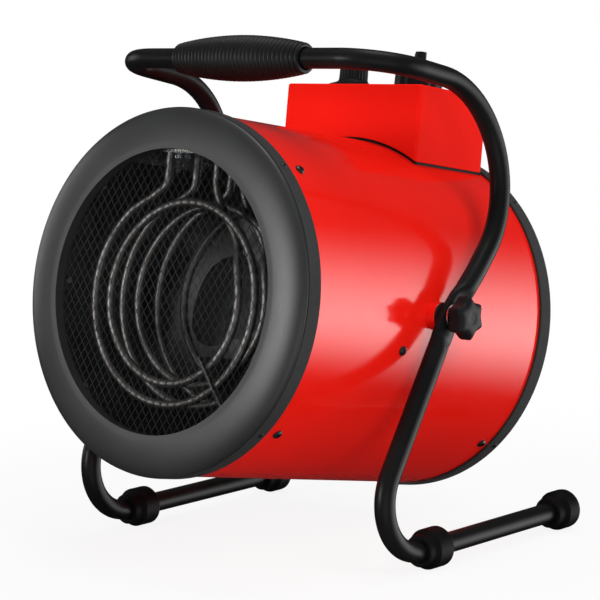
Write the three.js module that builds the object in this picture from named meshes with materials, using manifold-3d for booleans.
// Portable forced air heater: a round drum with a fan and three coiled heating
// elements, carried between the arms of one bent tube that is also its feet and handle.
//
// Millimetres, +Z up, the heater blows towards -Y. The drum is modelled level in its own
// group, with its axis along Y, and the group is tilted about the pivot axis, which is X.

import * as THREE from "three";
import { mergeVertices } from "three/addons/utils/BufferGeometryUtils.js";
import Module from "manifold-3d";

const wasm = await Module();
wasm.setup();

// ---------------------------------------------------------------- driving dimensions

const FIT = 0.3; // clearance that two pieces which touch keep between them

// Drum
const DRUM_TILT = 10.3; // degrees nose up at rest
const SHELL_RADIUS = 137.8;
const SHEET = 0.7;
const RING_WALL = 1.9; // both end rings, over the shell
const RING_RADIUS = SHELL_RADIUS + FIT + RING_WALL;
const SHELL_END_GAP = 1; // from each end of the shell to its ring
const DRUM_FRONT = -153.1; // front seam of the bezel
const DRUM_BACK = 153.1;
const FRONT_BAND = 13.7; // how far the bezel reaches back over the shell
const REAR_BAND = 14.4;
const FACE_WIDTH = 32.2; // from the bezel's outside in to its lip
const LIP_RADIUS = RING_RADIUS - FACE_WIDTH;
const LIP_FORWARD = 8.4; // how far the bezel's lip stands in front of the seam
const BEZEL_WALL = 1.5;
const LIP_ROLL = 4; // width of the flat at the front of the lip
const DRUM_SIDES = 36;

// Control box on the drum
const BOX_HALF_WIDTH = 69.5;
const BOX_TO_RING = 1.2; // gap between the box and the rear ring's band
const BOX_LENGTH = 89.5;
const BOX_BACK = DRUM_BACK - REAR_BAND - BOX_TO_RING;
const BOX_FRONT = BOX_BACK - BOX_LENGTH;
const BOX_HEIGHT = 45.2; // above the top of the shell
const BOX_TOP = SHELL_RADIUS + BOX_HEIGHT;
const BOX_CORNER = 2.5;
const BOX_WALL = 1.2;
const GASKET = 1.5;
const GASKET_WIDTH = 4;
const CABLE_HOLE_RADIUS = 12;
const CABLE_HOLE_X = 40;

// Bent tube: arms, foot bars and handle bar
const TUBE_RADIUS = 8;
const TUBE_BORE = 6.5;
const ARM_GAP = 4; // between the drum's rings and an arm
const ARM_X = RING_RADIUS + ARM_GAP + TUBE_RADIUS; // centreline beside the drum
const ARM_LEAN = 13;
const SHOULDER_X = ARM_X - ARM_LEAN; // centreline where the arms lean in towards the handle
const DRUM_ABOVE_FEET = 33;
const FOOT_DROP = RING_RADIUS + DRUM_ABOVE_FEET; // pivot axis down to the foot bars' centreline
const FOOT_BEND_Y = -121;
const FOOT_BEND_RADIUS = 40;
const FOOT_BAR_END_Y = 145;
const FRONT_FOOT_Y = -33;
const SHOULDER_Y = 167;
const SHOULDER_BELOW_HANDLE = 52;
const SHOULDER_BEND_RADIUS = 79;
const HANDLE_Y = -54.5;
const HANDLE_ABOVE_BOX = 15;
const HANDLE_Z = BOX_TOP + HANDLE_ABOVE_BOX;
const SHOULDER_Z = HANDLE_Z - SHOULDER_BELOW_HANDLE;
const HANDLE_BEND_RADIUS = 44;
const PIVOT_BEND_RADIUS = 60;
const LEAN_BEND_RADIUS = 60;
const LEAN_START = 46; // how far above the pivot an arm starts to lean in
const FLAT_THICKNESS = 8; // the tube is pressed flat where the tilt studs pass
const FLAT_WIDTH = 20.6;
const FLAT_LENGTH = 32;
const FLAT_RUN_OUT = 14;
const TUBE_SIDES = 12;
const BORE_SIDES = 6;

// Ribbed grip on the handle bar
const GRIP_LENGTH = 128;
const GRIP_END_RADIUS = 11.5;
const GRIP_MIDDLE_RADIUS = 18;
const GRIP_RIB_DEPTH = 1.5;
const GRIP_RIBS = 33;
const GRIP_SWELL = 0.8; // under 1, the grip reaches its full girth sooner
const GRIP_SIDES = 8;
const RIBS_PER_BORE_RING = 5;

// Rubber feet
const FOOT_RADIUS = 16;
const FOOT_LENGTH = 26;
const FOOT_END_WALL = 4;
const FOOT_CHAMFER = 1.5;
const FOOT_SIDES = 16;

// Inner heat shield
const SHIELD_GAP = 16.8; // air between the heat shield and the shell's outside
const SHIELD_RADIUS = SHELL_RADIUS - SHIELD_GAP;
const SHIELD_BACK = 55;
const SHIELD_LIP_LENGTH = 30; // part of its front flange that lies along the shell

// Front grille, a flat net of diamonds
const GRILLE_OVERLAP = 7; // how far it reaches over the heat shield's flange
const GRILLE_RADIUS = SHIELD_RADIUS + GRILLE_OVERLAP;
const GRILLE_THICKNESS = 1;
const GRILLE_RIM = 5;
const MESH_WIDTH = 19.6;
const MESH_HEIGHT = 28.4;
const STRAND = 1.5;

// Heating elements
const ELEMENT_RADIUS = 3.25;
const ELEMENT_TO_SHIELD = 40; // from the outer loop out to the heat shield
const LOOP_SPACING = 16;
const ELEMENT_OUTER_LOOP = SHIELD_RADIUS - ELEMENT_TO_SHIELD;
const ELEMENT_INNER_LOOP = ELEMENT_OUTER_LOOP - LOOP_SPACING;
const LOOP_DROP = 3.4; // the loops' centre below the drum's axis
const ELEMENT_PLANES = { front: -144, middle: -113, rear: -73 };
const REAR_INNER_SETBACK = 13; // the rear element's inner loop behind its outer one
const ELEMENT_LEAD_IN_X = -15;
const ELEMENT_LEAD_OUT_X = 23;
const ELEMENT_LEAD_SETBACK = 12; // the second lead rises behind the outer loop
const TERMINAL_PLATE_DROP = 15; // from the heat shield down to the terminal plate
const TERMINAL_PLATE_Z = SHIELD_RADIUS - TERMINAL_PLATE_DROP;
const TERMINAL_HEIGHT = 10; // a lead's end above the terminal plate
const ELEMENT_TOP = TERMINAL_PLATE_Z + TERMINAL_HEIGHT;
const ELEMENT_LOOP_START = 22; // degrees from the top, towards -X
const ELEMENT_LOOP_END = 640;
const ELEMENT_STEP_IN = [285, 420]; // degrees round, where the outer loop closes in
const LEAD_IN_BEND = [[0, 12], [-1, 6], [-4, 1.5]]; // [x from its lead, z from the outer loop]
const LEAD_OUT_SWEEP = [[0, 656, 0.25], [1, 668, 0.83], [4, 681, 1], [9, 693, 1]];
const LEAD_OUT_BEND = [[4, -4], [0.5, 6], [0, 14]];
const LOOP_STEPS = 24;
const ELEMENT_SIDES = 6;

// Terminal plate and element support
const TERMINAL_PLATE_FOOT = 7;
const PLATE_MARGIN = 5; // plate in front of the first element's lead
const INSULATOR_LENGTH = 52;
const INSULATOR_WIDTH = 12;
const INSULATOR_HEIGHT = 6;
const SUPPORT_AT = 222; // degrees round the loops, near their lower right
const SUPPORT_THICKNESS = 1.6;
const SUPPORT_MARGIN = 7; // metal beyond the elements that it holds
const SUPPORT_FOOT = 10;

// Fan, its motor and the cross bracket
const FAN_Y = 10;
const FAN_TIP_GAP = 9; // between the blades' tips and the heat shield's radius
const FAN_RADIUS = SHIELD_RADIUS - FAN_TIP_GAP;
const FAN_HUB_RADIUS = 22;
const FAN_HUB_LENGTH = 26;
const FAN_BLADES = 5;
const HUB_CHAMFER = 6;
// A leaf shaped blade: [share of the way out, chord, degrees from the fan's plane]
const BLADE_SECTIONS = [[0, 30, 40], [0.45, 74, 30], [0.8, 86, 22], [1, 58, 18]];
const BLADE_PHASE = -18; // degrees that turn one blade level at rest
const BLADE_ROOT_DEPTH = 4; // how far a blade reaches into the hub
const BLADE_THICKNESS = 1.6;
const SHAFT_RADIUS = 4;
const FAN_NUT_LENGTH = 6;
const FAN_NUT_RADIUS = 8;
const SHAFT_PAST_NUT = 2;
const SHAFT_IN_MOTOR = 12;
const MOTOR_FRONT = 44;
const MOTOR_BACK = 112;
const MOTOR_RADIUS = 36;
const MOTOR_BOSS_RADIUS = 14;
const MOTOR_BOSS_LENGTH = 5;
const MOTOR_CHAMFER = 7;
const BRACKET_WIDTH = 24;
const BRACKET_THICKNESS = 2;
const BRACKET_FOOT = 26;
const BRACKET_EASE = 0.5;

// Rear ring and guard
const REAR_LIP_WIDTH = 16;
const REAR_LIP_RADIUS = RING_RADIUS - REAR_LIP_WIDTH;
const GUARD_OVERLAP = 10; // how far the guard reaches behind the rear ring's lip
const GUARD_RADIUS = REAR_LIP_RADIUS + GUARD_OVERLAP;
const GUARD_THICKNESS = 1.2;
const GUARD_BORDER = 32; // from the guard's rim in to the middle of its outer slots
const GUARD_RING_SPACING = 28;
const GUARD_SLOT_RINGS = [2, 1, 0].map((k) => GUARD_RADIUS - GUARD_BORDER - k * GUARD_RING_SPACING);
const GUARD_SLOTS_PER_RING = 5;
const GUARD_SLOT_WIDTH = 19;
const GUARD_SPOKE = 9;

// Shell screws
const SCREW_ANGLES = { upper_right: 45, lower_right: 135, lower_left: 225, upper_left: 315 };
const FRONT_SCREW_Y = -125;
const REAR_SCREW_Y = 130;
const SCREW_HEAD_RADIUS = 4;
const SCREW_HEAD_HEIGHT = 2;
const SCREW_SHANK_RADIUS = 2;
const SCREW_SIDES = 6;

// Tilt pivots
const STUD_RADIUS = 4;
const STUD_CLEARANCE = 0.4;
const BOSS_RADIUS = 11;
const NYLON_WASHER = 1.8;
const STEEL_WASHER = 1.6;
const WASHER_RADIUS = 10;
const PIVOT_PLATE_AHEAD = 43; // how far the plate reaches from its stud
const PIVOT_PLATE_BEHIND = 23;
const PIVOT_PLATE_BELOW = 40;
const PIVOT_PLATE_ABOVE = 26;
const PIVOT_PLATE_THICKNESS = 2;
const PIVOT_NUT_RADIUS = 8;
const PIVOT_NUT_DEPTH = 7;
const PIVOT_SCREW_Y = -32;
const PIVOT_SCREW_ANGLE = 102; // degrees from the top

// Star knobs
const STAR_RADIUS = 16.8;
const STAR_SCALLOP = 3.6;
const STAR_LOBES = 6;
const STAR_LENGTH = 13.4;
const STAR_DOME = 4.4; // its domed end
const STAR_HUB_RADIUS = 7.6;
const STAR_HUB_LENGTH = 3;
const STAR_BORE_DEPTH = 9;

// Controls
const KNOB_TO_SIDE = 35.5; // from a knob's axis to its side of the box
const KNOB_TO_BACK = 48;
const KNOB_X = BOX_HALF_WIDTH - KNOB_TO_SIDE;
const KNOB_Y = BOX_BACK - KNOB_TO_BACK;
const CONTROL_SHAFT_RADIUS = 3;
const CONTROL_SHAFT_LENGTH = 28;
const CONTROL_SHAFT_DEPTH = 8; // how far it reaches into its control
const CONTROL_BUSH_RADIUS = 5;
const CONTROL_BUSH_HEIGHT = 1.5;
const SKIRT_RADIUS = 20;
const SKIRT_HEIGHT = 5;
const BARREL_RADIUS = 12;
const SELECTOR_HEIGHT = 27;
const DIAL_RADIUS = 19.6;
const DIAL_HEIGHT = 15;
const DIAL_FLUTES = 10;
const DIAL_FLUTE_DEPTH = 0.9;
const THERMOSTAT_BAR_HEIGHT = 30;
const BAR_WIDTH = 8.7;
const BAR_LENGTH = 30;
const BAR_TURN = 40; // degrees, how far the thermostat's bar is turned at rest
const SWITCH_SIZE = [36, 36, 32];
const THERMOSTAT_SIZE = [40, 30, 24];
const TERMINAL_BLOCK_SIZE = [50, 20, 15];
const TERMINAL_BLOCK_TO_SIDE = 49.5;
const TERMINAL_BLOCK_X = TERMINAL_BLOCK_TO_SIDE - BOX_HALF_WIDTH;
const CUTOUT = { radius: 9, height: 4, capRadius: 6, capHeight: 5, y: 30, degrees: -20 };

// Cable gland in the box's back wall
const GLAND_TO_SIDE = 31.5; // from the box's right side to the gland's axis
const GLAND_X = BOX_HALF_WIDTH - GLAND_TO_SIDE;
const GLAND_DROP = 20; // from the box's top down to the gland's axis
const GLAND_Z = BOX_TOP - GLAND_DROP;
const GLAND_THREAD_RADIUS = 8;
const GLAND_NUT_RADIUS = 11.5;
const GLAND_BORE = 5;
const GLAND_LENGTH = 20;
const GLAND_INSIDE = 8;
const GLAND_BODY_LENGTH = 6;
const GLAND_CAP_RADIUS = 10;
const GLAND_TAPER = 7;

// ---------------------------------------------------------------- small helpers

const rad = THREE.MathUtils.degToRad;
const vec = (x, y, z) => new THREE.Vector3(x, y, z);
const X_AXIS = vec(1, 0, 0);
const Y_AXIS = vec(0, 1, 0);

// The same geometry with shared corners, no empty triangles and its faces pointing out.
function closed(source) {
  let geometry = source.clone();
  geometry.deleteAttribute("normal");
  geometry.deleteAttribute("uv");
  geometry = mergeVertices(geometry, 1e-4);
  const corners = geometry.attributes.position;
  const kept = [];
  let volume = 0;
  for (let i = 0; i < geometry.index.count; i += 3) {
    const [a, b, c] = [0, 1, 2].map((k) => geometry.index.getX(i + k));
    if (a === b || b === c || c === a) continue;
    const [p, q, r] = [a, b, c].map((k) => new THREE.Vector3().fromBufferAttribute(corners, k));
    volume += p.dot(q.cross(r));
    kept.push([a, b, c]);
  }
  if (volume < 0) kept.forEach((triangle) => triangle.reverse());
  geometry.setIndex(kept.flat());
  return geometry;
}

function toSolid(geometry) {
  const { attributes, index } = closed(geometry);
  return new wasm.Manifold(new wasm.Mesh({
    numProp: 3,
    vertProperties: Float32Array.from(attributes.position.array),
    triVerts: Uint32Array.from(index.array),
  }));
}

function toGeometry(solid) {
  const mesh = solid.getMesh();
  const geometry = new THREE.BufferGeometry();
  geometry.setAttribute("position", new THREE.BufferAttribute(mesh.vertProperties, 3));
  geometry.setIndex(new THREE.BufferAttribute(mesh.triVerts, 1));
  return closed(geometry);
}

const cut = (geometry, ...tools) =>
  toGeometry(tools.reduce((solid, tool) => solid.subtract(toSolid(tool)), toSolid(geometry)));
const join = (geometry, ...others) =>
  toGeometry(others.reduce((solid, other) => solid.add(toSolid(other)), toSolid(geometry)));
const common = (geometry, ...others) =>
  toGeometry(others.reduce((solid, other) => solid.intersect(toSolid(other)), toSolid(geometry)));

// A turned piece about Y. The profile is a list of [radius, y]; one that does not run
// from axis to axis is closed on itself.
function turned(profile, sides, firstAngle = 0) {
  const points = profile.map(([radius, y]) => new THREE.Vector2(radius, y));
  if (points[0].x > 0 || points.at(-1).x > 0) points.push(points[0].clone());
  return new THREE.LatheGeometry(points, sides, firstAngle);
}

// A ring about Y with a rectangular section.
const ringAboutY = (inner, outer, from, to, sides = DRUM_SIDES) =>
  turned([[inner, from], [outer, from], [outer, to], [inner, to]], sides);
const rodAboutY = (radius, from, to, sides = DRUM_SIDES) =>
  turned([[0, from], [radius, from], [radius, to], [0, to]], sides);

// A round rod or a washer along X, from one x to another.
function alongX(geometry) {
  return geometry.clone().rotateZ(-Math.PI / 2);
}
const rodAlongX = (radius, from, to, sides = 12) => alongX(rodAboutY(radius, from, to, sides));
const washerAlongX = (inner, outer, from, to, sides = 12) =>
  alongX(ringAboutY(inner, outer, from, to, sides));

// A turned piece about Z, made from the same kind of profile with z for y.
const turnedAboutZ = (profile, sides, firstAngle = 0) =>
  turned(profile, sides, firstAngle).rotateX(Math.PI / 2);

// A rod that stands up along Z at a point, and one that lies along Y.
const rodUp = (radius, x, y, from, to, sides = 12) =>
  turnedAboutZ([[0, from], [radius, from], [radius, to], [0, to]], sides).translate(x, y, 0);
const rodBack = (radius, x, z, from, to, sides = 12) =>
  rodAboutY(radius, from, to, sides).translate(x, 0, z);

function block(from, to) {
  const size = to.map((value, k) => value - from[k]);
  return new THREE.BoxGeometry(...size)
    .translate(...from.map((value, k) => value + size[k] / 2));
}

// A flat outline pulled up along Z.
const ARC_STEPS = 3;
function pulledUp(shape, from, to) {
  const options = { depth: to - from, bevelEnabled: false, curveSegments: ARC_STEPS };
  return new THREE.ExtrudeGeometry(shape, options).translate(0, 0, from);
}

// A skin over rings of equal point count, with both ends capped at their middle.
function loft(rings) {
  const count = rings[0].length;
  const points = rings.flat();
  const index = [];
  for (let i = 0; i + 1 < rings.length; i++) {
    for (let k = 0; k < count; k++) {
      const [a, b] = [i * count + k, i * count + (k + 1) % count];
      index.push(a, b, b + count, a, b + count, a + count);
    }
  }
  const ends = [[rings[0], 0, true], [rings.at(-1), points.length - count, false]];
  for (const [ring, start, flip] of ends) {
    const middle = ring.reduce((sum, p) => sum.add(p), vec(0, 0, 0)).divideScalar(count);
    const centre = points.push(middle) - 1;
    for (let k = 0; k < count; k++) {
      const [a, b] = [start + k, start + (k + 1) % count];
      index.push(...(flip ? [centre, b, a] : [centre, a, b]));
    }
  }
  const geometry = new THREE.BufferGeometry().setFromPoints(points);
  geometry.setIndex(index);
  return closed(geometry);
}

// Turns a geometry that was made at the drum's top to an angle about the drum's axis.
const turnOnDrum = (geometry, degrees) => geometry.clone().rotateY(rad(degrees));

// ---------------------------------------------------------------- tube bending

// Stations along a bent wire: straight runs between corners, with an arc at each.
function bentWire(corners, radii, turnPerStep = rad(20)) {
  const direction = (i) => corners[i + 1].clone().sub(corners[i]).normalize();
  const stations = [{ point: corners[0].clone(), tangent: direction(0) }];
  for (let i = 1; i + 1 < corners.length; i++) {
    const before = direction(i - 1);
    const after = direction(i);
    const turn = before.angleTo(after);
    if (turn < 1e-4) {
      stations.push({ point: corners[i].clone(), tangent: before });
      continue;
    }
    const radius = radii[i - 1];
    const inward = after.clone().addScaledVector(before, -before.dot(after)).normalize();
    const start = corners[i].clone().addScaledVector(before, -radius * Math.tan(turn / 2));
    const steps = Math.max(1, Math.round(turn / turnPerStep));
    for (let k = 0; k <= steps; k++) {
      const angle = (turn * k) / steps;
      stations.push({
        point: start.clone()
          .addScaledVector(before, radius * Math.sin(angle))
          .addScaledVector(inward, radius * (1 - Math.cos(angle))),
        tangent: before.clone().multiplyScalar(Math.cos(angle))
          .addScaledVector(inward, Math.sin(angle)),
      });
    }
  }
  stations.push({ point: corners.at(-1).clone(), tangent: direction(corners.length - 2) });
  return stations;
}

// Gives each station two cross directions that do not twist along the wire.
function addFrames(stations, firstSide) {
  let side = firstSide.clone();
  for (const station of stations) {
    side.addScaledVector(station.tangent, -side.dot(station.tangent)).normalize();
    station.side = side.clone();
    station.up = station.tangent.clone().cross(side);
  }
  return stations;
}

function sectionRing(station, sides, shape) {
  return Array.from({ length: sides }, (_, k) => {
    const [across, along] = shape((2 * Math.PI * k) / sides);
    return station.point.clone()
      .addScaledVector(station.side, across)
      .addScaledVector(station.up, along);
  });
}

const roundSection = (radius) => (angle) => [radius * Math.cos(angle), radius * Math.sin(angle)];

// ---------------------------------------------------------------- stand

const LOWER_ARM = vec(0, FOOT_BEND_Y, -FOOT_DROP).normalize();
const UPPER_ARM = vec(0, SHOULDER_Y, SHOULDER_Z).normalize();
const FLAT_REACH = FLAT_LENGTH / 2 + FLAT_RUN_OUT;

// The corners of one arm from the end of its foot bar to the corner of the handle.
function armCorners(side) {
  const pivot = vec(side * ARM_X, 0, 0);
  const along = (direction, distance) => pivot.clone().addScaledVector(direction, distance);
  const flatSteps = [FLAT_REACH, FLAT_REACH - FLAT_RUN_OUT / 2, FLAT_LENGTH / 2];
  return [
    [vec(side * ARM_X, FOOT_BAR_END_Y, -FOOT_DROP), 0],
    [vec(side * ARM_X, FOOT_BEND_Y, -FOOT_DROP), FOOT_BEND_RADIUS],
    ...flatSteps.map((distance) => [along(LOWER_ARM, distance), 0]),
    [pivot, PIVOT_BEND_RADIUS],
    ...flatSteps.toReversed().map((distance) => [along(UPPER_ARM, distance), 0]),
    [along(UPPER_ARM, LEAN_START), LEAN_BEND_RADIUS],
    [vec(side * SHOULDER_X, SHOULDER_Y, SHOULDER_Z), SHOULDER_BEND_RADIUS],
    [vec(side * SHOULDER_X, HANDLE_Y, HANDLE_Z), HANDLE_BEND_RADIUS],
  ];
}

function standStations() {
  const corners = [...armCorners(1), ...armCorners(-1).toReversed()];
  return addFrames(
    bentWire(corners.map(([point]) => point), corners.slice(1, -1).map(([, radius]) => radius)),
    X_AXIS,
  );
}

// How far the tube is pressed flat at a station: 1 at the pivot, 0 where it is round.
function flatness({ point }) {
  const distance = Math.hypot(point.y, point.z);
  return 1 - THREE.MathUtils.smoothstep(distance, FLAT_LENGTH / 2, FLAT_REACH);
}

function tubeSection(station, radius, halfThickness, halfWidth) {
  const pressed = flatness(station);
  return (angle) => {
    const across = radius * Math.cos(angle);
    const held = THREE.MathUtils.clamp(across, -halfThickness, halfThickness);
    return [
      THREE.MathUtils.lerp(across, held, pressed),
      THREE.MathUtils.lerp(radius, halfWidth, pressed) * Math.sin(angle),
    ];
  };
}

function frameTube() {
  const stations = standStations();
  const wall = TUBE_RADIUS - TUBE_BORE;
  const outer = stations.map((station) => sectionRing(
    station, TUBE_SIDES, tubeSection(station, TUBE_RADIUS, FLAT_THICKNESS / 2, FLAT_WIDTH / 2)));
  for (const [end, out] of [[stations[0], -1], [stations.at(-1), 1]]) {
    end.point.addScaledVector(end.tangent, out);
  }
  const inner = stations.map((station) => sectionRing(station, BORE_SIDES,
    tubeSection(station, TUBE_BORE, FLAT_THICKNESS / 2 - wall, FLAT_WIDTH / 2 - wall)));
  const holeRadius = STUD_RADIUS + STUD_CLEARANCE;
  const holes = [-1, 1].map((side) =>
    rodAlongX(holeRadius, side * ARM_X - TUBE_RADIUS, side * ARM_X + TUBE_RADIUS));
  return cut(loft(outer), loft(inner), ...holes);
}

// The handle bar's axis runs along X, so the grip is lofted there.
function handleGrip() {
  const ring = (x, radius) => Array.from({ length: GRIP_SIDES }, (_, k) => {
    const angle = (2 * Math.PI * k) / GRIP_SIDES;
    return vec(x, HANDLE_Y + radius * Math.cos(angle), HANDLE_Z + radius * Math.sin(angle));
  });
  const crest = (x) => THREE.MathUtils.lerp(
    GRIP_END_RADIUS, GRIP_MIDDLE_RADIUS, Math.cos((Math.PI * x) / GRIP_LENGTH) ** GRIP_SWELL);
  const pitch = GRIP_LENGTH / GRIP_RIBS;
  const [valleyAt, crestAt] = [0.15, 0.6]; // shares of the pitch
  const rings = [];
  for (let rib = 0; rib < GRIP_RIBS; rib++) {
    const x = -GRIP_LENGTH / 2 + rib * pitch;
    rings.push(ring(x + pitch * valleyAt, crest(x + pitch / 2) - GRIP_RIB_DEPTH));
    rings.push(ring(x + pitch * crestAt, crest(x + pitch / 2)));
  }
  const boreRadius = (TUBE_RADIUS + FIT) / Math.cos(Math.PI / GRIP_SIDES);
  const boreRings = [];
  for (let rib = -1; rib <= GRIP_RIBS + RIBS_PER_BORE_RING; rib += RIBS_PER_BORE_RING) {
    boreRings.push(ring(-GRIP_LENGTH / 2 + rib * pitch, boreRadius));
  }
  return cut(loft(rings), loft(boreRings));
}

// Half a facet of phase puts a flat facet of the foot on the floor.
const FOOT_PHASE = Math.PI / FOOT_SIDES;
const FOOT_BORE = (TUBE_RADIUS + FIT) / Math.cos(FOOT_PHASE);
const FLOOR_Z = -FOOT_DROP - FOOT_RADIUS * Math.cos(FOOT_PHASE);

function footSleeve() {
  const half = FOOT_LENGTH / 2;
  return turned([
    [FOOT_BORE, -half], [FOOT_RADIUS - FOOT_CHAMFER, -half], [FOOT_RADIUS, -half + FOOT_CHAMFER],
    [FOOT_RADIUS, half - FOOT_CHAMFER], [FOOT_RADIUS - FOOT_CHAMFER, half], [FOOT_BORE, half],
  ], FOOT_SIDES, FOOT_PHASE);
}

// A sleeve with an end wall, so that it caps the tube.
function footCap() {
  const end = FOOT_END_WALL + FIT;
  const start = end - FOOT_LENGTH;
  return turned([
    [0, FIT], [FOOT_BORE, FIT], [FOOT_BORE, start], [FOOT_RADIUS - FOOT_CHAMFER, start],
    [FOOT_RADIUS, start + FOOT_CHAMFER], [FOOT_RADIUS, end - FOOT_CHAMFER],
    [FOOT_RADIUS - FOOT_CHAMFER, end], [0, end],
  ], FOOT_SIDES, FOOT_PHASE);
}

// ---------------------------------------------------------------- drum casing

const SHELL_FRONT = DRUM_FRONT + BEZEL_WALL + SHELL_END_GAP;
const SHELL_BACK = DRUM_BACK - BEZEL_WALL - SHELL_END_GAP;
const SHELL_INSIDE = SHELL_RADIUS - SHEET;
const BAND_INSIDE = SHELL_RADIUS + FIT;
const HOLE_LOW = SHIELD_RADIUS + 4; // radial holes start between the heat shield and the shell
const HOLE_HIGH = RING_RADIUS + 5;

// A hole for a screw through the shell and what lies close under it.
function screwHole(degrees, y) {
  const hole = rodUp(SCREW_SHANK_RADIUS + FIT, 0, y, HOLE_LOW, HOLE_HIGH, SCREW_SIDES);
  return turnOnDrum(hole, degrees);
}
const screwHoles = (y) => Object.values(SCREW_ANGLES).map((degrees) => screwHole(degrees, y));
const PIVOT_SCREW_ANGLES = { right: PIVOT_SCREW_ANGLE, left: 360 - PIVOT_SCREW_ANGLE };
const pivotScrewHoles = () =>
  Object.values(PIVOT_SCREW_ANGLES).map((degrees) => screwHole(degrees, PIVOT_SCREW_Y));

function drumShell() {
  const studHole = rodAlongX(STUD_RADIUS + STUD_CLEARANCE, -RING_RADIUS, RING_RADIUS);
  const cableHole = rodUp(CABLE_HOLE_RADIUS, CABLE_HOLE_X, KNOB_Y, HOLE_LOW, HOLE_HIGH);
  return cut(
    ringAboutY(SHELL_INSIDE, SHELL_RADIUS, SHELL_FRONT, SHELL_BACK),
    studHole, cableHole, ...screwHoles(FRONT_SCREW_Y), ...screwHoles(REAR_SCREW_Y),
    ...pivotScrewHoles());
}

// The grille is held between the bezel's lip and the heat shield's flange.
const GRILLE_FRONT = DRUM_FRONT + 1;
const GRILLE_BACK = GRILLE_FRONT + GRILLE_THICKNESS;
const FLANGE_FRONT = GRILLE_BACK + FIT;

// The bezel's face swells forward from the seam to the lip round the opening.
function frontBezel() {
  const lip = DRUM_FRONT - LIP_FORWARD;
  const faceSteps = 4;
  const shoulderWidth = 10; // where the inside of the face turns steep
  const face = Array.from({ length: faceSteps + 1 }, (_, k) => {
    const angle = (k / faceSteps) * (Math.PI / 2);
    return [
      LIP_RADIUS + LIP_ROLL + (RING_RADIUS - LIP_RADIUS - LIP_ROLL) * Math.cos(angle),
      DRUM_FRONT - LIP_FORWARD * Math.sin(angle),
    ];
  });
  const back = GRILLE_FRONT - FIT;
  return turned([
    [BAND_INSIDE, DRUM_FRONT + FRONT_BAND], [RING_RADIUS, DRUM_FRONT + FRONT_BAND], ...face,
    [LIP_RADIUS, lip + LIP_ROLL / 2], [LIP_RADIUS, back], [LIP_RADIUS + BEZEL_WALL, back],
    [LIP_RADIUS + LIP_ROLL, lip + BEZEL_WALL],
    [BAND_INSIDE - shoulderWidth, DRUM_FRONT - LIP_FORWARD / 2], [BAND_INSIDE, DRUM_FRONT + BEZEL_WALL],
  ], DRUM_SIDES);
}

// Expanded metal: a disc with rows of diamonds, each row half a mesh beside the last.
function frontGrille() {
  const slope = Math.atan2(MESH_HEIGHT, MESH_WIDTH);
  const halfWidth = MESH_WIDTH / 2 - STRAND / 2 / Math.sin(slope);
  const halfHeight = MESH_HEIGHT / 2 - STRAND / 2 / Math.cos(slope);
  const rim = GRILLE_RADIUS - GRILLE_RIM;
  const rows = Math.ceil((2 * rim) / MESH_HEIGHT);
  const columns = Math.ceil(rim / MESH_WIDTH) + 1;
  const diamonds = [];
  for (let row = -rows; row <= rows; row++) {
    for (let column = -columns; column <= columns; column++) {
      const x = (column + (row % 2 ? 0.5 : 0)) * MESH_WIDTH;
      const z = (row * MESH_HEIGHT) / 2;
      const farthest = Math.max(
        Math.hypot(Math.abs(x) + halfWidth, z), Math.hypot(x, Math.abs(z) + halfHeight));
      if (farthest > rim) continue;
      const diamond = rodAboutY(1, GRILLE_FRONT - 1, GRILLE_BACK + 1, 4);
      diamonds.push(diamond.scale(halfWidth, 1, halfHeight).translate(x, 0, z));
    }
  }
  return cut(rodAboutY(GRILLE_RADIUS, GRILLE_FRONT, GRILLE_BACK), ...diamonds);
}

// A galvanised tube inside the drum. Its front flange turns back along the shell.
function heatShield() {
  const inside = SHIELD_RADIUS - SHEET;
  const lip = SHELL_INSIDE - FIT;
  const shield = turned([
    [inside, SHIELD_BACK], [inside, FLANGE_FRONT], [lip, FLANGE_FRONT],
    [lip, FLANGE_FRONT + SHIELD_LIP_LENGTH], [lip - SHEET, FLANGE_FRONT + SHIELD_LIP_LENGTH],
    [lip - SHEET, FLANGE_FRONT + SHEET], [SHIELD_RADIUS, FLANGE_FRONT + SHEET],
    [SHIELD_RADIUS, SHIELD_BACK],
  ], DRUM_SIDES);
  return cut(shield, ...screwHoles(FRONT_SCREW_Y));
}

function rearRing() {
  const inner = DRUM_BACK - BEZEL_WALL;
  return turned([
    [BAND_INSIDE, DRUM_BACK - REAR_BAND], [RING_RADIUS, DRUM_BACK - REAR_BAND],
    [RING_RADIUS, DRUM_BACK - 2], [RING_RADIUS - 2, DRUM_BACK], [REAR_LIP_RADIUS, DRUM_BACK],
    [REAR_LIP_RADIUS, inner], [BAND_INSIDE, inner],
  ], DRUM_SIDES);
}

// A punched disc with rings of curved slots, against the rear ring's lip.
function rearGuard() {
  const disc = new THREE.Shape();
  disc.absarc(0, 0, GUARD_RADIUS, 0, 2 * Math.PI);
  for (const radius of GUARD_SLOT_RINGS) {
    const gap = GUARD_SPOKE / radius;
    for (let k = 0; k < GUARD_SLOTS_PER_RING; k++) {
      const from = (2 * Math.PI * k) / GUARD_SLOTS_PER_RING + gap / 2;
      const to = (2 * Math.PI * (k + 1)) / GUARD_SLOTS_PER_RING - gap / 2;
      const slot = new THREE.Path();
      slot.absarc(0, 0, radius - GUARD_SLOT_WIDTH / 2, from, to, false);
      slot.absarc(0, 0, radius + GUARD_SLOT_WIDTH / 2, to, from, true);
      disc.holes.push(slot);
    }
  }
  const back = DRUM_BACK - BEZEL_WALL - FIT;
  return pulledUp(disc, 0, GUARD_THICKNESS).rotateX(Math.PI / 2).translate(0, back, 0);
}

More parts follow.
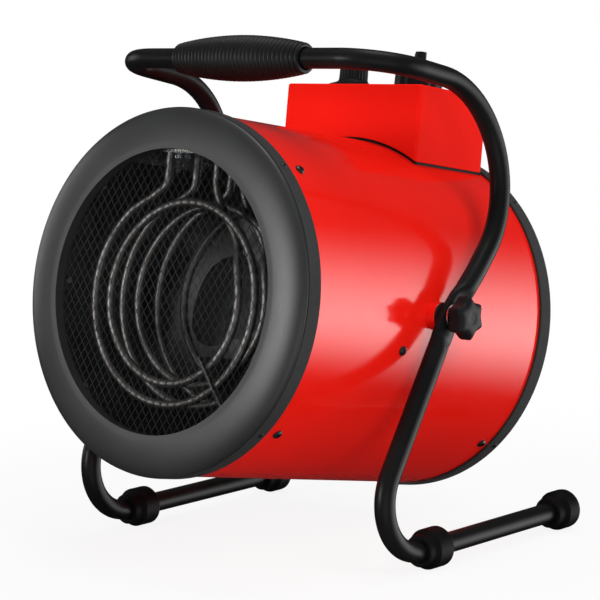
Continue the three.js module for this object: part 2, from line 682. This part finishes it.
// A pan head screw along Z that starts on a drum surface, turned to its place.
function drumScrew(degrees, y, reach) {
  const seat = SHELL_RADIUS + FIT;
  const top = seat + SCREW_HEAD_HEIGHT;
  const screw = turnedAboutZ([
    [0, seat - reach], [SCREW_SHANK_RADIUS, seat - reach], [SCREW_SHANK_RADIUS, seat],
    [SCREW_HEAD_RADIUS, seat], [SCREW_HEAD_RADIUS * 0.7, top], [0, top],
  ], SCREW_SIDES);
  return turnOnDrum(screw.translate(0, y, 0), degrees);
}

// ---------------------------------------------------------------- heating elements

const LOOP_STEP = 360 / LOOP_STEPS;

const innerLoopPlane = (plane) =>
  (plane === ELEMENT_PLANES.rear ? plane + REAR_INNER_SETBACK : plane);

// One element is one tube: down from its first terminal, a loop, a smaller loop inside
// it, and up behind the outer one to its second terminal. Angles run from the top towards -X.
function elementRoute(plane) {
  const onLoop = (radius, angle, y) =>
    vec(-radius * Math.sin(angle), y, radius * Math.cos(angle) - LOOP_DROP);
  const behind = plane + ELEMENT_LEAD_SETBACK;
  const innerPlane = innerLoopPlane(plane);
  const bend = (leadX, y) => ([x, z]) => vec(leadX + x, y, ELEMENT_OUTER_LOOP - LOOP_DROP + z);
  const points = [
    vec(ELEMENT_LEAD_IN_X, plane, ELEMENT_TOP),
    ...LEAD_IN_BEND.map(bend(ELEMENT_LEAD_IN_X, plane)),
  ];
  const [stepIn, steppedIn] = ELEMENT_STEP_IN;
  for (let degrees = ELEMENT_LOOP_START; degrees <= ELEMENT_LOOP_END; degrees += LOOP_STEP) {
    const share = THREE.MathUtils.smoothstep(degrees, stepIn, steppedIn);
    const radius = THREE.MathUtils.lerp(ELEMENT_OUTER_LOOP, ELEMENT_INNER_LOOP, share);
    points.push(onLoop(radius, rad(degrees), THREE.MathUtils.lerp(plane, innerPlane, share)));
  }
  // The sweep behind: [radius over the inner loop, degrees round, share of the setback]
  for (const [rise, degrees, share] of LEAD_OUT_SWEEP) {
    const y = THREE.MathUtils.lerp(innerPlane, behind, share);
    points.push(onLoop(ELEMENT_INNER_LOOP + rise, rad(degrees), y));
  }
  points.push(
    ...LEAD_OUT_BEND.map(bend(ELEMENT_LEAD_OUT_X, behind)),
    vec(ELEMENT_LEAD_OUT_X, behind, ELEMENT_TOP));
  return points;
}

function heatingElement(plane) {
  const route = elementRoute(plane);
  const stations = route.map((point, i) => ({
    point,
    tangent: route[Math.min(i + 1, route.length - 1)].clone()
      .sub(route[Math.max(i - 1, 0)]).normalize(),
  }));
  addFrames(stations, Y_AXIS);
  return loft(stations.map((station) =>
    sectionRing(station, ELEMENT_SIDES, roundSection(ELEMENT_RADIUS))));
}

// The least distance between two stretches of one element that are not neighbours.
function leastSelfGap(plane) {
  const dense = new THREE.CatmullRomCurve3(elementRoute(plane), false, "centripetal").getPoints(600);
  const skipped = 40;
  let least = Infinity;
  for (let i = 0; i < dense.length; i++) {
    for (let j = i + skipped; j < dense.length; j++) {
      least = Math.min(least, dense[i].distanceTo(dense[j]));
    }
  }
  return least - 2 * ELEMENT_RADIUS;
}

const leadHole = (x, y, clearance = FIT) => rodUp(ELEMENT_RADIUS + clearance, x, y,
  TERMINAL_PLATE_Z - TERMINAL_PLATE_DROP, SHIELD_RADIUS, 8);

const leadHoles = (plane) => [
  leadHole(ELEMENT_LEAD_IN_X, plane, FIT * 2),
  leadHole(ELEMENT_LEAD_OUT_X, plane + ELEMENT_LEAD_SETBACK, FIT * 2),
];

// A flat plate across the top of the heat shield, which carries every terminal.
const PLATE_FRONT = ELEMENT_PLANES.front - PLATE_MARGIN;
const PLATE_BACK = ELEMENT_PLANES.rear + ELEMENT_LEAD_SETBACK + 2 * PLATE_MARGIN;
function terminalPlate() {
  const seat = SHIELD_RADIUS - SHEET - FIT;
  const level = [TERMINAL_PLATE_Z, TERMINAL_PLATE_Z + SHEET];
  const plate = common(
    block([-seat, PLATE_FRONT, level[0]], [seat, PLATE_BACK, level[1]]),
    rodAboutY(seat, PLATE_FRONT - 1, PLATE_BACK + 1));
  const feet = common(
    block([-seat, PLATE_FRONT, level[0] - TERMINAL_PLATE_FOOT], [seat, PLATE_BACK, level[1]]),
    ringAboutY(seat - SHEET, seat, PLATE_FRONT - 1, PLATE_BACK + 1));
  const holes = Object.values(ELEMENT_PLANES).flatMap(leadHoles);
  return cut(join(plate, feet), ...holes);
}

// A ceramic bar under each pair of terminals, bored for both leads.
function insulator(plane) {
  const middleX = (ELEMENT_LEAD_IN_X + ELEMENT_LEAD_OUT_X) / 2;
  const top = TERMINAL_PLATE_Z + SHEET + FIT + INSULATOR_HEIGHT;
  const bar = block(
    [middleX - INSULATOR_LENGTH / 2, plane - INSULATOR_WIDTH / 2 + 2, TERMINAL_PLATE_Z + SHEET + FIT],
    [middleX + INSULATOR_LENGTH / 2, plane + ELEMENT_LEAD_SETBACK + INSULATOR_WIDTH / 2 - 2, top]);
  return cut(bar, leadHole(ELEMENT_LEAD_IN_X, plane),
    leadHole(ELEMENT_LEAD_OUT_X, plane + ELEMENT_LEAD_SETBACK));
}

// A comb that stands in from the heat shield and holds the loops apart, at one of their steps.
const SUPPORT_STEP = Math.round((SUPPORT_AT - ELEMENT_LOOP_START) / LOOP_STEP);
const SUPPORT_ANGLE = 360 - ELEMENT_LOOP_START - SUPPORT_STEP * LOOP_STEP;
function elementSupport() {
  const inner = ELEMENT_INNER_LOOP - SUPPORT_MARGIN;
  const outer = SHIELD_RADIUS - SHEET - FIT * 2;
  const front = ELEMENT_PLANES.front - SUPPORT_MARGIN + SUPPORT_THICKNESS;
  const back = innerLoopPlane(ELEMENT_PLANES.rear) + SUPPORT_MARGIN;
  const drop = LOOP_DROP * Math.cos(rad(SUPPORT_ANGLE));
  const comb = block(
    [-SUPPORT_THICKNESS / 2, front, inner], [SUPPORT_THICKNESS / 2, back, outer]);
  const foot = block([0, front, outer - SUPPORT_THICKNESS], [SUPPORT_FOOT, back, outer]);
  const hole = (plane, radius) =>
    rodAlongX(ELEMENT_RADIUS + FIT * 2, -5, 5, 8).translate(0, plane, radius - drop);
  const holes = Object.values(ELEMENT_PLANES).flatMap((plane) =>
    [hole(innerLoopPlane(plane), ELEMENT_INNER_LOOP), hole(plane, ELEMENT_OUTER_LOOP)]);
  const seat = rodAboutY(outer, front - 1, back + 1);
  return turnOnDrum(common(cut(join(comb, foot), ...holes), seat), SUPPORT_ANGLE);
}

// ---------------------------------------------------------------- fan and motor

function fanImpeller() {
  const half = FAN_HUB_LENGTH / 2;
  const hub = turned([
    [SHAFT_RADIUS + FIT, -half], [FAN_HUB_RADIUS - HUB_CHAMFER, -half],
    [FAN_HUB_RADIUS, -half + HUB_CHAMFER],
    [FAN_HUB_RADIUS, half], [SHAFT_RADIUS + FIT, half],
  ], 20);
  const blade = (k) => {
    const rings = BLADE_SECTIONS.map(([share, chord, degrees]) => {
      const radius = THREE.MathUtils.lerp(FAN_HUB_RADIUS - BLADE_ROOT_DEPTH, FAN_RADIUS, share);
      const pitch = rad(degrees);
      return [[-1, -1], [1, -1], [1, 1], [-1, 1]].map(([u, v]) => {
        const across = (u * chord) / 2;
        const thick = (v * BLADE_THICKNESS) / 2;
        return vec(across * Math.cos(pitch) - thick * Math.sin(pitch),
          across * Math.sin(pitch) + thick * Math.cos(pitch), radius);
      });
    });
    return turnOnDrum(loft(rings), BLADE_PHASE + (360 * k) / FAN_BLADES);
  };
  const wheel = join(hub, ...Array.from({ length: FAN_BLADES }, (_, k) => blade(k)));
  const bore = rodAboutY(SHAFT_RADIUS + FIT, -half - 5, half + 5, 12);
  return cut(wheel, bore).translate(0, FAN_Y, 0);
}

const FAN_FRONT = FAN_Y - FAN_HUB_LENGTH / 2;
const NUT_FRONT = FAN_FRONT - FAN_NUT_LENGTH;
const fanShaft = () =>
  rodAboutY(SHAFT_RADIUS, NUT_FRONT - SHAFT_PAST_NUT, MOTOR_FRONT + SHAFT_IN_MOTOR, 12);
const fanNut = () => cut(
  rodAboutY(FAN_NUT_RADIUS, NUT_FRONT, FAN_FRONT - FIT, 6),
  rodAboutY(SHAFT_RADIUS + FIT, NUT_FRONT - 1, FAN_FRONT, 12));

function fanMotor() {
  const face = MOTOR_FRONT + MOTOR_BOSS_LENGTH;
  const body = turned([
    [0, MOTOR_FRONT], [MOTOR_BOSS_RADIUS, MOTOR_FRONT], [MOTOR_BOSS_RADIUS, face],
    [MOTOR_RADIUS - MOTOR_CHAMFER, face], [MOTOR_RADIUS, face + MOTOR_CHAMFER],
    [MOTOR_RADIUS, MOTOR_BACK - MOTOR_CHAMFER], [MOTOR_RADIUS - MOTOR_CHAMFER, MOTOR_BACK],
    [0, MOTOR_BACK],
  ], 20);
  const bore = rodAboutY(SHAFT_RADIUS + FIT, MOTOR_FRONT - 1, MOTOR_FRONT + SHAFT_IN_MOTOR + FIT, 12);
  return cut(body, bore);
}

// Two crossed straps behind the motor, each end folded back along the shell.
function motorBracket() {
  const plane = MOTOR_BACK + FIT;
  // A flat foot fits the round shell along its two edges.
  const reach = Math.sqrt((SHELL_INSIDE - FIT) ** 2 - (BRACKET_WIDTH / 2) ** 2) - BRACKET_EASE;
  const straps = [SCREW_ANGLES.upper_right, SCREW_ANGLES.lower_right].map((degrees) => turnOnDrum(block(
    [-BRACKET_WIDTH / 2, plane, -reach],
    [BRACKET_WIDTH / 2, plane + BRACKET_THICKNESS, reach]), degrees));
  const feet = Object.values(SCREW_ANGLES).map((degrees) => turnOnDrum(block(
    [-BRACKET_WIDTH / 2, plane, reach - BRACKET_THICKNESS],
    [BRACKET_WIDTH / 2, plane + BRACKET_FOOT, reach]), degrees));
  return cut(join(...straps, ...feet), ...screwHoles(REAR_SCREW_Y));
}

// ---------------------------------------------------------------- tilt pivots

const BOSS_END = ARM_X - FLAT_THICKNESS / 2 - NYLON_WASHER - 2 * FIT;
const STEEL_WASHER_START = ARM_X + FLAT_THICKNESS / 2 + FIT;
const KNOB_START = STEEL_WASHER_START + STEEL_WASHER + FIT;
const PLATE_OUTSIDE = SHELL_INSIDE - FIT;
const STUD_END = PLATE_OUTSIDE - PIVOT_PLATE_THICKNESS - PIVOT_NUT_DEPTH;
const STUD_HOLE = STUD_RADIUS + STUD_CLEARANCE;

// All pieces of one pivot are made for the +X side and mirrored by turning half way.
const onSide = (geometry, side) => (side > 0 ? geometry : geometry.clone().rotateY(Math.PI));

// A spacer on the outside of the shell, cut to its curve.
function pivotBoss() {
  const boss = washerAlongX(STUD_HOLE, BOSS_RADIUS, SHELL_RADIUS - BOSS_RADIUS, BOSS_END, 16);
  return cut(boss, rodAboutY(BAND_INSIDE, -2 * BOSS_RADIUS, 2 * BOSS_RADIUS));
}

// A curved plate inside the shell with a nut welded to it.
function pivotPlate() {
  const curved = ringAboutY(
    PLATE_OUTSIDE - PIVOT_PLATE_THICKNESS, PLATE_OUTSIDE, -PIVOT_PLATE_AHEAD, PIVOT_PLATE_BEHIND);
  const window = block(
    [0, -PIVOT_PLATE_AHEAD - 1, -PIVOT_PLATE_BELOW],
    [RING_RADIUS, PIVOT_PLATE_BEHIND + 1, PIVOT_PLATE_ABOVE]);
  const nut = rodAlongX(PIVOT_NUT_RADIUS, STUD_END, PLATE_OUTSIDE - PIVOT_PLATE_THICKNESS / 2, 6);
  const studHole = rodAlongX(STUD_HOLE, STUD_END - 1, RING_RADIUS);
  return cut(join(common(curved, window), nut), studHole,
    screwHole(PIVOT_SCREW_ANGLE, PIVOT_SCREW_Y));
}

// The plate of the -X side is a mirror image, because its screw is also to the front.
function mirrored(geometry) {
  return closed(geometry.clone().scale(-1, 1, 1));
}

const nylonWasher = () => washerAlongX(
  STUD_HOLE, BOSS_RADIUS, BOSS_END + FIT, BOSS_END + FIT + NYLON_WASHER);
const steelWasher = () => washerAlongX(
  STUD_HOLE, WASHER_RADIUS, STEEL_WASHER_START, STEEL_WASHER_START + STEEL_WASHER);
const tiltStud = () => rodAlongX(STUD_RADIUS, STUD_END, KNOB_START + STAR_HUB_LENGTH + STAR_BORE_DEPTH);

// A six-lobed knob with a domed face and a hub that bears on the washer.
function starKnob() {
  const pointsPerLobe = 4;
  const count = STAR_LOBES * pointsPerLobe;
  const ring = (x, scale) => Array.from({ length: count }, (_, k) => {
    const angle = (2 * Math.PI * k) / count;
    const valley = Math.abs(Math.cos((STAR_LOBES * angle) / 2));
    const radius = scale * (STAR_RADIUS - STAR_SCALLOP * valley);
    return vec(x, radius * Math.cos(angle), radius * Math.sin(angle));
  });
  const start = KNOB_START + STAR_HUB_LENGTH;
  const end = start + STAR_LENGTH;
  const star = loft([
    ring(start, 0.9), ring(start + 1, 1), ring(end - STAR_DOME, 1), ring(end - STAR_DOME * 0.4, 0.82),
    ring(end, 0.45),
  ]);
  const hub = rodAlongX(STAR_HUB_RADIUS, KNOB_START, start + 2, 14);
  const bore = rodAlongX(STUD_RADIUS + FIT, KNOB_START - 1, start + STAR_BORE_DEPTH + FIT);
  return cut(join(star, hub), bore);
}

// ---------------------------------------------------------------- control box

function boxOutline(inset) {
  const [halfWidth, corner] = [BOX_HALF_WIDTH - inset, Math.max(BOX_CORNER - inset, 1)];
  const [front, back] = [BOX_FRONT + inset, BOX_BACK - inset];
  const outline = new THREE.Shape();
  outline.absarc(halfWidth - corner, back - corner, corner, 0, Math.PI / 2);
  outline.absarc(-halfWidth + corner, back - corner, corner, Math.PI / 2, Math.PI);
  outline.absarc(-halfWidth + corner, front + corner, corner, Math.PI, 1.5 * Math.PI);
  outline.absarc(halfWidth - corner, front + corner, corner, 1.5 * Math.PI, 2 * Math.PI);
  return outline;
}

const BOX_LOW = SHELL_RADIUS / 2; // below where the box meets the drum at its widest
const BOX_INSIDE_TOP = BOX_TOP - BOX_WALL;
const drumBody = (radius) => rodAboutY(radius, BOX_FRONT - 5, BOX_BACK + 5);

function controlBoxCover() {
  const holes = [-KNOB_X, KNOB_X].map((x) =>
    rodUp(CONTROL_BUSH_RADIUS + FIT, x, KNOB_Y, BOX_INSIDE_TOP - 1, BOX_TOP + 1));
  const glandHole = rodBack(
    GLAND_THREAD_RADIUS + FIT, GLAND_X, GLAND_Z, BOX_BACK - BOX_WALL - 1, BOX_BACK + 1);
  return cut(
    pulledUp(boxOutline(0), BOX_LOW, BOX_TOP),
    pulledUp(boxOutline(BOX_WALL), BOX_LOW - 1, BOX_INSIDE_TOP),
    drumBody(SHELL_RADIUS + GASKET + 2 * FIT), ...holes, glandHole);
}

function controlBoxGasket() {
  const frame = cut(
    pulledUp(boxOutline(0), BOX_LOW, BOX_TOP),
    pulledUp(boxOutline(GASKET_WIDTH), BOX_LOW - 1, BOX_TOP + 1));
  const skin = ringAboutY(
    SHELL_RADIUS + FIT, SHELL_RADIUS + FIT + GASKET, BOX_FRONT - 5, BOX_BACK + 5);
  return common(frame, skin);
}

// A control under the box's top panel, with a bush that comes up through it.
function controlBody(x, sizeX, sizeY, height) {
  const top = BOX_INSIDE_TOP - FIT;
  const body = block(
    [x - sizeX / 2, KNOB_Y - sizeY / 2, top - height], [x + sizeX / 2, KNOB_Y + sizeY / 2, top]);
  const bush = rodUp(CONTROL_BUSH_RADIUS, x, KNOB_Y, top - 2, BOX_TOP + CONTROL_BUSH_HEIGHT);
  const bore = rodUp(
    CONTROL_SHAFT_RADIUS + FIT, x, KNOB_Y, SHAFT_LOW - FIT, BOX_TOP + CONTROL_BUSH_HEIGHT + 1);
  return cut(join(body, bush), bore);
}
const SHAFT_LOW = BOX_INSIDE_TOP - CONTROL_SHAFT_DEPTH;
const KNOB_LOW = BOX_TOP + FIT;
const controlShaft = (x) =>
  rodUp(CONTROL_SHAFT_RADIUS, x, KNOB_Y, SHAFT_LOW, SHAFT_LOW + CONTROL_SHAFT_LENGTH);

// What a knob needs underneath: room for the bush and a blind hole for the shaft.
const knobHollows = (x) => [
  rodUp(CONTROL_BUSH_RADIUS + 2 * FIT, x, KNOB_Y, KNOB_LOW - 1, BOX_TOP + CONTROL_BUSH_HEIGHT + FIT),
  rodUp(CONTROL_SHAFT_RADIUS + FIT, x, KNOB_Y, KNOB_LOW - 1, SHAFT_LOW + CONTROL_SHAFT_LENGTH + FIT),
];

// A skirt with a round ribbed barrel on it.
function selectorKnob() {
  const x = -KNOB_X;
  const top = BOX_TOP + SELECTOR_HEIGHT;
  const knob = turnedAboutZ([
    [0, KNOB_LOW], [SKIRT_RADIUS, KNOB_LOW], [SKIRT_RADIUS, KNOB_LOW + 3],
    [BARREL_RADIUS + 2, KNOB_LOW + SKIRT_HEIGHT], [BARREL_RADIUS, KNOB_LOW + SKIRT_HEIGHT + 1],
    [BARREL_RADIUS - 0.8, top - 1.2], [BARREL_RADIUS - 2, top], [0, top],
  ], 16).translate(x, KNOB_Y, 0);
  return cut(knob, ...knobHollows(x));
}

// A fluted dial with a finger bar across it.
function thermostatKnob() {
  const x = KNOB_X;
  const count = DIAL_FLUTES * 3;
  const ring = (z, scale) => Array.from({ length: count }, (_, k) => {
    const angle = (2 * Math.PI * k) / count;
    const radius = scale * (DIAL_RADIUS - (k % 3 === 0 ? DIAL_FLUTE_DEPTH : 0));
    return vec(radius * Math.cos(angle), radius * Math.sin(angle), z);
  });
  const dialTop = KNOB_LOW + DIAL_HEIGHT;
  const dial = loft([ring(KNOB_LOW, 1), ring(dialTop - 1.5, 0.97), ring(dialTop, 0.9)]);
  const bar = block(
    [-BAR_WIDTH / 2, -BAR_LENGTH / 2, dialTop - 1],
    [BAR_WIDTH / 2, BAR_LENGTH / 2, BOX_TOP + THERMOSTAT_BAR_HEIGHT]);
  const knob = join(dial, bar.rotateZ(rad(BAR_TURN))).translate(x, KNOB_Y, 0);
  return cut(knob, ...knobHollows(x));
}

function terminalBlock() {
  const [sizeX, sizeY, height] = TERMINAL_BLOCK_SIZE;
  const low = SHELL_RADIUS + FIT;
  const middleY = BOX_BACK - BOX_WALL - GASKET_WIDTH - sizeY / 2;
  return block(
    [TERMINAL_BLOCK_X - sizeX / 2, middleY - sizeY / 2, low],
    [TERMINAL_BLOCK_X + sizeX / 2, middleY + sizeY / 2, low + height]);
}

// A disc thermostat on the outside of the heat shield, under the control box.
function thermalCutout() {
  const low = SHIELD_RADIUS + FIT;
  const middle = low + CUTOUT.height;
  const disc = join(
    rodUp(CUTOUT.radius, 0, CUTOUT.y, low, middle),
    rodUp(CUTOUT.capRadius, 0, CUTOUT.y, middle - 1, middle + CUTOUT.capHeight));
  return turnOnDrum(disc, CUTOUT.degrees);
}

function cableGland() {
  const inside = BOX_BACK - BOX_WALL - FIT;
  const threadEnd = inside - GLAND_INSIDE;
  const outside = BOX_BACK + FIT;
  const mouth = outside + GLAND_LENGTH;
  const thread = rodBack(GLAND_THREAD_RADIUS, GLAND_X, GLAND_Z, threadEnd, outside + 1);
  const lockNut = rodBack(GLAND_NUT_RADIUS, GLAND_X, GLAND_Z, inside - GLAND_BODY_LENGTH, inside, 6);
  const body = rodBack(GLAND_NUT_RADIUS, GLAND_X, GLAND_Z, outside, outside + GLAND_BODY_LENGTH, 6);
  const capStart = outside + GLAND_BODY_LENGTH - 1;
  const cap = turned([
    [0, capStart], [GLAND_CAP_RADIUS, capStart], [GLAND_CAP_RADIUS, mouth - GLAND_TAPER],
    [GLAND_BORE + 2, mouth], [0, mouth],
  ], 12).translate(GLAND_X, 0, GLAND_Z);
  const bore = rodBack(GLAND_BORE, GLAND_X, GLAND_Z, threadEnd - 1, mouth + 1);
  return cut(join(thread, lockNut, body, cap), bore);
}

// ---------------------------------------------------------------- materials and assembly

const finish = (color, roughness, metalness) => ({ color, roughness, metalness });
const RED_ENAMEL = finish(0xd41a10, 0.22, 0);
const CHARCOAL_ENAMEL = finish(0x2b2d2f, 0.42, 0);
const BLACK_ENAMEL = finish(0x161718, 0.38, 0);
const BLACK_RUBBER = finish(0x1a1b1c, 0.75, 0);
const BLACK_FOAM = finish(0x141516, 0.9, 0);
const BLACK_PLASTIC = finish(0x1d1f20, 0.5, 0);
const ZINC = finish(0xa9adb0, 0.38, 0.9);
const STAINLESS = finish(0x8f8b86, 0.32, 1);
const CERAMIC = finish(0xd8d2c4, 0.6, 0);
const NYLON = finish(0xcfcfc8, 0.6, 0);

function piece(name, geometry, look) {
  const material = new THREE.MeshStandardMaterial({ ...look, flatShading: true });
  const mesh = new THREE.Mesh(closed(geometry), material);
  mesh.name = name;
  return mesh;
}

const SIDES = { right: 1, left: -1 };

function buildStand() {
  const stand = new THREE.Group();
  stand.add(piece("frame_tube", frameTube(), BLACK_ENAMEL));
  stand.add(piece("handle_grip", handleGrip(), BLACK_FOAM));
  for (const [name, side] of Object.entries(SIDES)) {
    const front = piece(`front_foot_${name}`, footSleeve(), BLACK_RUBBER);
    front.position.set(side * ARM_X, FRONT_FOOT_Y, -FOOT_DROP);
    const rear = piece(`rear_foot_${name}`, footCap(), BLACK_RUBBER);
    rear.position.set(side * ARM_X, FOOT_BAR_END_Y, -FOOT_DROP);
    stand.add(front, rear, piece(`steel_washer_${name}`, onSide(steelWasher(), side), ZINC));
  }
  return stand;
}

function addCasing(drum) {
  drum.add(
    piece("drum_shell", drumShell(), RED_ENAMEL),
    piece("heat_shield", heatShield(), ZINC),
    piece("front_bezel", frontBezel(), CHARCOAL_ENAMEL),
    piece("front_grille", frontGrille(), BLACK_ENAMEL),
    piece("rear_ring", rearRing(), CHARCOAL_ENAMEL),
    piece("rear_guard", rearGuard(), BLACK_ENAMEL));
  for (const [name, degrees] of Object.entries(SCREW_ANGLES)) {
    drum.add(
      piece(`front_screw_${name}`, drumScrew(degrees, FRONT_SCREW_Y, 6), BLACK_ENAMEL),
      piece(`rear_screw_${name}`, drumScrew(degrees, REAR_SCREW_Y, 8), BLACK_ENAMEL));
  }
}

function addHeating(drum) {
  for (const [name, plane] of Object.entries(ELEMENT_PLANES)) {
    drum.add(
      piece(`heating_element_${name}`, heatingElement(plane), STAINLESS),
      piece(`insulator_${name}`, insulator(plane), CERAMIC));
  }
  drum.add(
    piece("terminal_plate", terminalPlate(), ZINC),
    piece("element_support", elementSupport(), ZINC),
    piece("thermal_cutout", thermalCutout(), ZINC));
}

function addFan(drum) {
  drum.add(
    piece("fan_impeller", fanImpeller(), ZINC),
    piece("fan_shaft", fanShaft(), STAINLESS),
    piece("fan_nut", fanNut(), ZINC),
    piece("fan_motor", fanMotor(), ZINC),
    piece("motor_bracket", motorBracket(), ZINC));
}

function addPivots(drum) {
  for (const [name, side] of Object.entries(SIDES)) {
    const plate = pivotPlate();
    drum.add(
      piece(`pivot_boss_${name}`, onSide(pivotBoss(), side), BLACK_ENAMEL),
      piece(`pivot_plate_${name}`, side > 0 ? plate : mirrored(plate), ZINC),
      piece(`pivot_screw_${name}`, drumScrew(PIVOT_SCREW_ANGLES[name], PIVOT_SCREW_Y, 7), BLACK_ENAMEL),
      piece(`nylon_washer_${name}`, onSide(nylonWasher(), side), NYLON),
      piece(`tilt_stud_${name}`, onSide(tiltStud(), side), ZINC),
      piece(`star_knob_${name}`, onSide(starKnob(), side), BLACK_PLASTIC));
  }
}

function addControls(drum) {
  drum.add(
    piece("control_box_cover", controlBoxCover(), RED_ENAMEL),
    piece("control_box_gasket", controlBoxGasket(), BLACK_RUBBER),
    piece("selector_switch", controlBody(-KNOB_X, ...SWITCH_SIZE), BLACK_PLASTIC),
    piece("selector_shaft", controlShaft(-KNOB_X), ZINC),
    piece("selector_knob", selectorKnob(), BLACK_PLASTIC),
    piece("thermostat", controlBody(KNOB_X, ...THERMOSTAT_SIZE), ZINC),
    piece("thermostat_shaft", controlShaft(KNOB_X), ZINC),
    piece("thermostat_knob", thermostatKnob(), BLACK_PLASTIC),
    piece("terminal_block", terminalBlock(), CERAMIC),
    piece("cable_gland", cableGland(), BLACK_PLASTIC));
}

function buildDrum() {
  const drum = new THREE.Group();
  addCasing(drum);
  addHeating(drum);
  addFan(drum);
  addPivots(drum);
  addControls(drum);
  drum.rotation.x = -rad(DRUM_TILT);
  return drum;
}

const heater = new THREE.Group();
heater.add(buildStand(), buildDrum());

// The origin is on the floor, under the middle of the heater.
heater.updateMatrixWorld(true);
const reach = new THREE.Box3().setFromObject(heater, true);
heater.position.set(0, -(reach.min.y + reach.max.y) / 2, -FLOOR_Z);

const narrowest = Math.min(...Object.values(ELEMENT_PLANES).map(leastSelfGap));
console.log(`least gap of a heating element to itself: ${narrowest.toFixed(2)} mm`);

export default heater;
